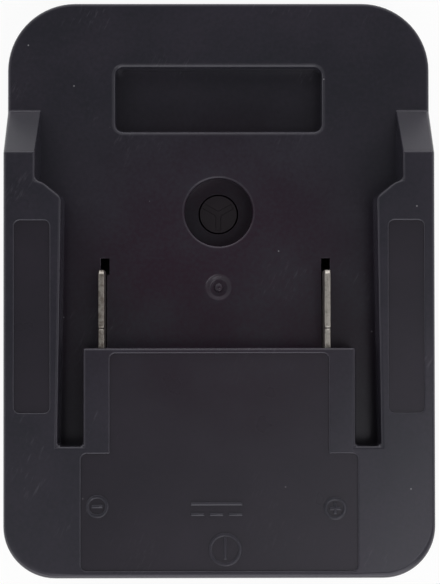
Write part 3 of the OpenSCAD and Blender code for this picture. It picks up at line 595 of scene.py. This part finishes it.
def makeFrontShell(size, boxes):
    near, straight = bodyPlan["near"], meshWork["along"]
    turnX = bodyPlan["halfWidth"] - bodyPlan["stopCorner"]
    turnY = bodyPlan["stopCorner"] - bodyPlan["halfLength"]

    def onSeat(middle):
        return middle.z > size["floor"] - near

    def onTop(middle):
        return middle.z > size["top"] - near

    def upright(middle, along):
        return abs(along.z) > straight and middle.z > size["floor"]

    def inRecess(middle, along, bend):
        return inBoxes(middle, boxes["recess"])

    def recessEdge(middle, along, bend):
        return bend > 0 and inBoxes(middle, boxes["recess"])

    def markDot(middle, along, bend):
        onMark = math.hypot(middle.x, middle.y) < size["markReach"] and middle.z > size["markLow"]
        return bend > 0 and onMark

    def markRim(middle, along, bend):
        return markDot(middle, along, bend) and onSeat(middle)

    def besideBlade(middle):
        return any(low < middle.x < high for low, high in size["bladeBands"])

    def bladeSlot(middle, along, bend):
        return bend > 0 and besideBlade(middle) and inBoxes(middle, boxes["bladeSlot"])

    def bladeMouth(middle, along, bend):
        return besideBlade(middle) and inBoxes(middle, boxes["bladeMouth"])

    def rimRadius(middle):
        # fuller round the stop end
        if middle.y < turnY and abs(middle.x) < turnX:
            return size["stopRim"]
        turned = min(max((turnY - middle.y) / size["rimEase"], 0), 1)
        return size["railRim"] + (size["cornerRim"] - size["railRim"]) * turned

    def outerRim(middle, along, bend):
        return bend > 0 and onSeat(middle) and onOutline(middle)

    def fromWell(middle):
        return math.hypot(middle.x, middle.y - size["wellY"])

    def inWell(middle):
        return fromWell(middle) < size["wellReach"] and middle.z > size["wellLow"]

    def pocketRim(middle, along, bend):
        return bend > 0 and inBoxes(middle, boxes["pocket"]) and onSeat(middle)

    def wellRim(middle, along, bend):
        return bend > 0 and inWell(middle) and onSeat(middle)

    def sinkEdge(middle, along, bend):
        return bend > 0 and inWell(middle) and fromWell(middle) < size["sinkReach"]

    def rampTop(middle, along, bend):
        return bend > 0 and abs(along.x) > straight and inBoxes(middle, boxes["rampTop"])

    def rampInside(middle, along, bend):
        return bend > 0 and inBoxes(middle, boxes["rampInside"])

    def blockFace(middle, along, bend):
        return bend > 0 and abs(middle.y - size["faceY"]) < near and onTop(middle)

    def lipTop(middle, along, bend):
        return bend > 0 and onTop(middle)

    def slotEnd(middle, along, bend):
        return upright(middle, along) and bend < 0 and abs(middle.y - size["slotY"]) < near

    def wallFoot(middle, along, bend):
        return bend < 0 and abs(along.y) > straight and inBoxes(middle, boxes["wallFoot"])

    def lipCorner(middle, along, bend):
        low, high = size["lipStart"]
        return upright(middle, along) and low < middle.y < high and middle.z > size["lip"]

    def smallEdge(middle, along, bend):
        reachable = onSeat(middle) or inBoxes(middle, boxes["pocket"]) or inWell(middle)
        underLip = abs(middle.z - size["lip"]) < near
        return bend > 0 and reachable and not underLip and not inBoxes(middle, boxes["hollow"])

    piece = copyNode("front_shell", "front_shell_moulding", size["cuts"])
    shapeSeat(piece, size)
    roundEdges(piece, [
        (size["seamLine"], outlineAt(size["seam"])),
        (size["recessEdge"], recessEdge),
        (0, inRecess),
        (size["markRim"], markRim),
        (size["markDot"], markDot),
        (size["bladeSlot"], bladeSlot),
        (0, bladeMouth),
        (size["rampTop"], rampTop),
        (size["rampTop"], rampInside),
        (rimRadius, outerRim),
        (size["pocketRim"], pocketRim),
        (size["wellRim"], wellRim),
        (size["sinkEdge"], sinkEdge),
        (size["blockFace"], blockFace),
        (size["lipTop"], lipTop),
        (size["slotEnd"], slotEnd),
        (size["wallFoot"], wallFoot),
        (size["lipCorner"], lipCorner),
        (size["smallEdge"], smallEdge),
    ])
    dress(piece, "adapter_body", "shell_plastic", "front_shell")


makeFrontShell(frontShell, seatBoxes)


# raised marks on the end panel, moulded with the shell: polarity, direct current and a plain number
panelMarks = {
    "base": 39.5,  # levels in mm, the base is just under the panel's face
    "shoulder": 39.8,
    "slope": 0.22,  # width and rise of the slope from the shoulder to the top
    "crown": 0.14,
    "line": 0.62,
    "minus": (-21.2, -38.1),
    "plus": (20.1, -38.5),
    "ringSides": 64,
    "signRing": 2.0,
    "signBar": 2.0,
    "current": (-0.5, -38.6),
    "currentBar": (9.0, 0.55),
    "dash": (2.4, 0.55),
    "dashPitch": 3.3,
    "currentGap": 0.9,
    "number": "1",
    "numberPlace": (1.0, -45.6),
    "numberRing": 2.9,
    "numberHeight": 4.0,
    "figureShare": 0.7,  # height of a figure in its type size
}


def makePanelMarks(size):
    base, height = size["base"] * mm, (size["shoulder"] - size["base"]) * mm
    made = []

    def raiseShape(shape):
        # flat outline to a low solid with sloping shoulders
        pick(shape)
        bpy.ops.object.transform_apply(location=True, rotation=True, scale=True)
        bpy.ops.object.mode_set(mode="EDIT")
        bpy.ops.mesh.select_all(action="SELECT")
        bpy.ops.mesh.remove_doubles(threshold=meshWork["mergeNew"])
        bpy.ops.mesh.dissolve_limited(angle_limit=math.radians(meshWork["flatMark"]))
        bpy.ops.mesh.select_all(action="SELECT")
        bpy.ops.mesh.extrude_region_move(TRANSFORM_OT_translate={"value": (0, 0, height)})
        bpy.ops.mesh.inset(thickness=size["slope"] * mm, depth=size["crown"] * mm)
        bpy.ops.mesh.select_all(action="SELECT")
        bpy.ops.mesh.normals_make_consistent(inside=False)
        bpy.ops.object.mode_set(mode="OBJECT")
        smoothFaces(shape, meshWork["smoothNew"])
        made.append(shape)

    def addRing(place, radius):
        bpy.ops.object.select_all(action="DESELECT")
        bpy.ops.mesh.primitive_circle_add(vertices=size["ringSides"], radius=radius * mm, fill_type="NGON",
                                          location=(place[0] * mm, place[1] * mm, base))
        bpy.ops.object.mode_set(mode="EDIT")
        bpy.ops.mesh.select_all(action="SELECT")
        bpy.ops.mesh.inset(thickness=size["line"] * mm)
        bpy.ops.mesh.delete(type="FACE")
        bpy.ops.object.mode_set(mode="OBJECT")
        raiseShape(bpy.context.object)

    def addBar(place, wide, long):
        bpy.ops.object.select_all(action="DESELECT")
        bpy.ops.mesh.primitive_plane_add(size=mm, location=(place[0] * mm, place[1] * mm, base))
        bpy.context.object.scale = (wide, long, 1)
        raiseShape(bpy.context.object)

    def addCross(place, span):
        # three by three grid without its corners, drawn in to the width of a line
        half = mm  # half width of the grid before that
        bpy.ops.object.select_all(action="DESELECT")
        bpy.ops.mesh.primitive_grid_add(x_subdivisions=3, y_subdivisions=3, size=2 * half,
                                        location=(place[0] * mm, place[1] * mm, base))
        bpy.ops.object.mode_set(mode="EDIT")
        bpy.ops.mesh.select_all(action="DESELECT")
        mesh = bmesh.from_edit_mesh(bpy.context.object.data)
        for face in mesh.faces:
            middle = face.calc_center_median()
            face.select_set(min(abs(middle.x), abs(middle.y)) > half / 3)
        for vert in mesh.verts:
            for axis in (0, 1):
                reach = span / 2 if abs(vert.co[axis]) > half / 2 else size["line"] / 2
                vert.co[axis] = math.copysign(reach * mm, vert.co[axis])
        bmesh.update_edit_mesh(bpy.context.object.data)
        bpy.ops.mesh.delete(type="FACE")
        bpy.ops.object.mode_set(mode="OBJECT")
        raiseShape(bpy.context.object)

    def addNumber(place, height):
        bpy.ops.object.select_all(action="DESELECT")
        bpy.ops.object.text_add(location=(place[0] * mm, place[1] * mm, base))
        data = bpy.context.object.data
        data.body = size["number"]
        data.size = height * mm / size["figureShare"]
        data.align_x, data.align_y = "CENTER", "CENTER"
        bpy.ops.object.convert(target="MESH")
        raiseShape(bpy.context.object)

    addRing(size["minus"], size["signRing"])
    addBar(size["minus"], size["signBar"], size["line"])
    addRing(size["plus"], size["signRing"])
    addCross(size["plus"], size["signBar"])
    x, y = size["current"]
    addBar((x, y + size["currentGap"]), *size["currentBar"])
    for step in (-1, 0, 1):
        addBar((x + step * size["dashPitch"], y - size["currentGap"]), *size["dash"])
    addRing(size["numberPlace"], size["numberRing"])
    addNumber(size["numberPlace"], size["numberHeight"])

    pick(*made)
    bpy.ops.object.join()
    piece = bpy.context.object
    piece.name = "panel_marks"
    dress(piece, "adapter_body", "shell_plastic")
    print("panel marks,", len(piece.data.polygons), "faces")


makePanelMarks(panelMarks)


# back shell: tray and slide foot
backShell = {
    "cuts": [((0, 0, 0), (1, 0, 0)), ((0, -34, 0), (0, 1, 0))],
    "seam": 20.0,  # levels in mm, as on the solid
    "shoulder": 8.5,
    "headLow": 8.6,  # the counterbores' rims lie below this, the rims of all holes below the next
    "holeLow": 10.5,
    "heads": ((31, -42.65), (31, 41.05)),  # places of the counterbores on the right, and their reach
    "headReach": 2.9,
    "shoulderRim": 1.0,  # radii in mm
    "footRim": 0.5,
    "footRoot": 0.4,
    "holeEdge": 0.2,
    "seamLine": 0.25,
}

# boxes round its features: low and high corner in mm, on the right where both sides are alike
trayBoxes = {
    "inside": [((0, -39.7, 2.1), (20.2, 15.7, 12))],
    # contact slot, and window of the hook
    "holes": [((12.6, -42.1, -0.1), (15.4, -26.9, 7.9)), ((0, 29.6, 8.4), (9.4, 38.1, 11))],
    "buttonNotch": [((0, 50.5, 8.4), (15.0, 50.8, 21))],
}


def makeBackShell(size, boxes):
    def outside(middle):
        return middle.z < size["shoulder"] + bodyPlan["near"] and not inBoxes(middle, boxes["inside"])

    def holeEdge(middle, along, bend):
        head = any(math.hypot(abs(middle.x) - x, middle.y - y) < size["headReach"] for x, y in size["heads"])
        onHead = head and middle.z < size["headLow"]
        return (inBoxes(middle, boxes["holes"]) or onHead) and middle.z < size["holeLow"]

    def buttonNotch(middle, along, bend):
        return bend > 0 and inBoxes(middle, boxes["buttonNotch"])

    def footRim(middle, along, bend):
        return bend > 0 and outside(middle)

    def footRoot(middle, along, bend):
        return bend < 0 and outside(middle)

    piece = copyNode("back_shell", "back_shell_moulding", size["cuts"])
    roundEdges(piece, [
        (size["holeEdge"], buttonNotch),
        (size["seamLine"], outlineAt(size["seam"])),
        (size["shoulderRim"], outlineAt(size["shoulder"])),
        (size["holeEdge"], holeEdge),
        (size["footRim"], footRim),
        (size["footRoot"], footRoot),
    ])
    dress(piece, "adapter_body", "shell_plastic", "back_shell")


makeBackShell(backShell, trayBoxes)


# small pieces that only need their edges broken: node, name, body, slot, radius in mm
smallPieces = [
    ("negative_blade", "negative_blade_plated", "adapter_body", "blade_metal", 0.22),
    ("positive_blade", "positive_blade_plated", "adapter_body", "blade_metal", 0.22),
    ("blade_retainer", "blade_retainer_bar", "adapter_body", "insulator_plastic", 0.3),
    ("contact_block", "contact_block_moulding", "adapter_body", "insulator_plastic", 0.2),
    ("negative_clip", "negative_clip_leaves", "adapter_body", "clip_metal", 0.08),
    ("positive_clip", "positive_clip_leaves", "adapter_body", "clip_metal", 0.08),
    ("negative_sleeves", "negative_lead_sleeves", "adapter_body", "sleeve_plastic", 0.12),
    ("positive_sleeves", "positive_lead_sleeves", "adapter_body", "sleeve_plastic", 0.12),
    ("release_latch", "release_latch_moulding", "latch", "latch_plastic", 0.3),
    ("release_button", "release_button_cap", "latch", "button_plastic", 0.25),
    ("retainer_screws", "retainer_screw_pair", "adapter_body", "screw_zinc", 0.1),
    ("case_screws", "case_screw_set", "adapter_body", "screw_black", 0.1),
]


def makeSmallPieces(rows):
    for node, name, body, slot, radius in rows:
        piece = copyNode(node, name)
        roundEdges(piece, [(radius, anyEdge)], segments=3)
        dress(piece, body, slot, node)


makeSmallPieces(smallPieces)


# centre screw: its head fills the sink, and its wings are shallow
centreScrew = {
    "middle": (0, 13.4),  # mm
    "spread": 1.03,  # the head against the solid's
    "headFoot": 19.9,
    "headTop": (22.2, 22.46),  # on the solid and here
    "wingFloor": (20.66, 22.2),
    "touch": 0.03,
    "edge": 0.06,
}


def makeCentreScrew(size):
    piece = copyNode("centre_screw", "centre_well_screw")
    middle = [s * mm for s in size["middle"]]
    for vert in piece.data.vertices:
        z = vert.co.z / mm
        share = size["spread"] if z > size["headFoot"] else 1
        for axis in (0, 1):
            vert.co[axis] = middle[axis] + share * (vert.co[axis] - middle[axis])
        for solidLevel, level in (size["headTop"], size["wingFloor"]):
            if abs(z - solidLevel) < size["touch"]:
                vert.co.z = level * mm
    roundEdges(piece, [(size["edge"], anyEdge)], segments=3)
    dress(piece, "adapter_body", "screw_black", "centre_screw")


makeCentreScrew(centreScrew)


def wireAlong(points, radius, name, roundness):
    # round wire through points in mm, with closed ends, as a mesh
    data = bpy.data.curves.new(name, "CURVE")
    data.dimensions = "3D"
    data.bevel_depth = radius * mm
    data.bevel_resolution = roundness
    data.use_fill_caps = True
    spline = data.splines.new("POLY")
    spline.points.add(len(points) - 1)
    for point, place in zip(spline.points, points):
        point.co = (*(Vector(place) * mm), 1)
    piece = bpy.data.objects.new(name, data)
    bpy.context.scene.collection.objects.link(piece)
    pick(piece)
    bpy.ops.object.convert(target="MESH")
    piece = bpy.context.object
    bpy.ops.object.mode_set(mode="EDIT")
    bpy.ops.mesh.select_all(action="SELECT")
    bpy.ops.mesh.remove_doubles(threshold=meshWork["mergeNew"])
    bpy.ops.mesh.normals_make_consistent(inside=False)
    bpy.ops.object.mode_set(mode="OBJECT")
    smoothFaces(piece, meshWork["smoothNew"])
    return piece


# latch springs: closed end turns, even pitch between
latchSpring = {
    "x": 23.35,  # mm
    "y": 33.5,
    "low": 13.6,
    "high": 27.6,
    "clear": 0.02,
    "coilRadius": 2.2,
    "wireRadius": 0.3,
    "turns": 8,
    "stepsPerTurn": 28,
    "roundness": 3,
    "pressed": 9.0,  # length with the latch up
}


def makeLatchSprings(size):
    wire, steps = size["wireRadius"], size["stepsPerTurn"]
    low, high = size["low"] + wire + size["clear"], size["high"] - wire - size["clear"]
    closed = 2 * wire + size["clear"]  # rise of an end turn
    openPitch = (high - low - 2 * closed) / (size["turns"] - 2)
    points = []
    for k in range(size["turns"] * steps + 1):
        turn = k / steps
        rise = closed * min(turn, 1) + openPitch * min(max(turn - 1, 0), size["turns"] - 2)
        rise += closed * max(turn - size["turns"] + 1, 0)
        angle = math.tau * turn
        points.append((size["coilRadius"] * math.cos(angle) - size["x"],
                       size["coilRadius"] * math.sin(angle) + size["y"], low + rise))
    left = wireAlong(points, wire, "left_spring_coil", size["roundness"])
    bpy.ops.object.duplicate()
    right = bpy.context.object
    right.name = "right_spring_coil"
    right.location.x = 2 * size["x"] * mm
    pick(right)
    bpy.ops.object.transform_apply(location=True, rotation=False, scale=False)
    for piece, side, node in ((left, -1, "left_latch_spring"), (right, 1, "right_latch_spring")):
        dress(piece, "adapter_body", "spring_steel", node)
        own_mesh(piece)
    print("latch springs wound")


makeLatchSprings(latchSpring)


# inner leads: silicone wire from each blade's tail, back and round to its clip
innerLeads = {
    "radius": 1.6,  # mm
    "bend": 6.0,
    "topZ": 27.6,
    "endY": -28.65,
    "turnY": -35.15,
    "clipY": -26.7,
    "bendSteps": 24,
    "roundness": 4,
    "rows": [
        ("negative_lead", "negative_lead_wire", "black_silicone", -18.43, -17.72),  # top x, low x
        ("positive_lead", "positive_lead_wire", "red_silicone", 16.83, 17.72),
    ],
}


def makeInnerLeads(size):
    for node, name, slot, topX, lowX in size["rows"]:
        lean = math.asin((lowX - topX) / (2 * size["bend"]))
        up = Vector((-math.sin(lean), 0, math.cos(lean)))
        centre = Vector((topX, size["turnY"], size["topZ"])) - up * size["bend"]
        points = [Vector((topX, size["endY"], size["topZ"]))]
        for k in range(size["bendSteps"] + 1):
            angle = math.pi * k / size["bendSteps"]
            points.append(centre + size["bend"] * (math.cos(angle) * up - math.sin(angle) * Vector((0, 1, 0))))
        points.append(Vector((lowX, size["clipY"], points[-1].z)))
        piece = wireAlong(points, size["radius"], name, size["roundness"])
        dress(piece, "adapter_body", slot, node)
    print("inner leads laid")


makeInnerLeads(innerLeads)


# studio: white floor, a bright horizon that dims towards a dark zenith,
# and three soft lamps on the stop end's side
studio = {
    "floorSize": 8.0,  # m
    "floorGap": 0.05,  # mm under the foot
    "paper": "#f2f2f2",
    "glow": 1.1,
    "shadowShare": 0.2,  # how much of the floor's own shading the camera sees
    "horizon": 2.5,  # levels of the world
    "slope": 0.64,
    "zenith": 0.10,
    "sides": 0.6,  # share of it that is left towards -X and +X
    "slopeEdge": (0.10, 0.45),  # sines of the heights at which one turns into the next
    "zenithEdge": (0.84, 0.975),
    "sideEdge": (0.3, 0.8),
    "lamps": [
        # name, degrees from straight up, degrees from +X, distance in m, size in m, watts
        ("keyLamp", 15.5, -43.0, 1.2, 0.30, 0.56),
        ("leftLamp", 15.0, -130.0, 1.2, 0.3, 0.12),
        ("fillLamp", 55.0, -75.0, 1.2, 0.8, 1.9),
    ],
}


def addStudio(setup):
    bpy.ops.object.select_all(action="DESELECT")
    bpy.ops.mesh.primitive_plane_add(size=setup["floorSize"], location=(0, 0, -setup["floorGap"] * mm))
    floor = bpy.context.object
    floor.name = "studio_floor"
    material, tree = newMaterial("whitePaper")
    rays = addNode(tree, "ShaderNodeLightPath")
    paper = addNode(tree, "ShaderNodeBsdfDiffuse", {"Color": linear(setup["paper"])})
    glow = addNode(tree, "ShaderNodeEmission", {"Color": (1, 1, 1, 1), "Strength": setup["glow"]})
    direct = addNode(tree, "ShaderNodeMath", {"operation": "MAXIMUM"},
                     {0: rays.outputs["Is Camera Ray"], 1: rays.outputs["Is Glossy Ray"]})
    seen = addNode(tree, "ShaderNodeMath", {"operation": "MAXIMUM"},
                   {0: direct.outputs[0], 1: rays.outputs["Is Transmission Ray"]})
    share = addNode(tree, "ShaderNodeMath", {"operation": "MULTIPLY", 1: 1 - setup["shadowShare"]},
                    {0: seen.outputs[0]})
    mixed = addNode(tree, "ShaderNodeMixShader", links={
        "Fac": share.outputs[0], 1: paper.outputs[0], 2: glow.outputs[0]})
    addNode(tree, "ShaderNodeOutputMaterial", links={"Surface": mixed.outputs[0]})
    floor.data.materials.append(material)

    world = bpy.data.worlds.new("studioWorld")
    bpy.context.scene.world = world
    world.use_nodes = True
    tree = world.node_tree
    tree.nodes.clear()
    direction = addNode(tree, "ShaderNodeTexCoord").outputs["Generated"]
    parts = addNode(tree, "ShaderNodeSeparateXYZ", links={"Vector": direction})
    aside = addNode(tree, "ShaderNodeMath", {"operation": "ABSOLUTE"}, {0: parts.outputs["X"]})
    level = None
    for edge, low, high, way in (("slopeEdge", setup["horizon"], setup["slope"], parts.outputs["Z"]),
                                 ("zenithEdge", 1.0, setup["zenith"] / setup["slope"], parts.outputs["Z"]),
                                 ("sideEdge", 1.0, setup["sides"], aside.outputs[0])):
        share = addNode(tree, "ShaderNodeMapRange",
                        {"interpolation_type": "SMOOTHSTEP", "From Min": setup[edge][0],
                         "From Max": setup[edge][1], "To Min": low, "To Max": high}, {"Value": way})
        links = {0: share.outputs["Result"]}
        if level:
            links[1] = level.outputs[0]
        level = addNode(tree, "ShaderNodeMath", {"operation": "MULTIPLY", 1: 1.0}, links)
    glow = addNode(tree, "ShaderNodeBackground", {"Color": (1, 1, 1, 1)}, {"Strength": level.outputs[0]})
    addNode(tree, "ShaderNodeOutputWorld", links={"Surface": glow.outputs[0]})

    for name, tilt, turn, distance, size, power in setup["lamps"]:
        tilt, turn = math.radians(tilt), math.radians(turn)
        toLamp = Vector((math.sin(tilt) * math.cos(turn), math.sin(tilt) * math.sin(turn), math.cos(tilt)))
        lamp = bpy.data.lights.new(name, "AREA")
        lamp.energy = power
        lamp.size = size
        holder = bpy.data.objects.new(name, lamp)
        holder.location = toLamp * distance
        holder.rotation_euler = (-toLamp).to_track_quat("-Z", "Y").to_euler()
        bpy.context.scene.collection.objects.link(holder)
    print("studio ready")


addStudio(studio)
bpy.context.scene.view_settings.view_transform = "Standard"
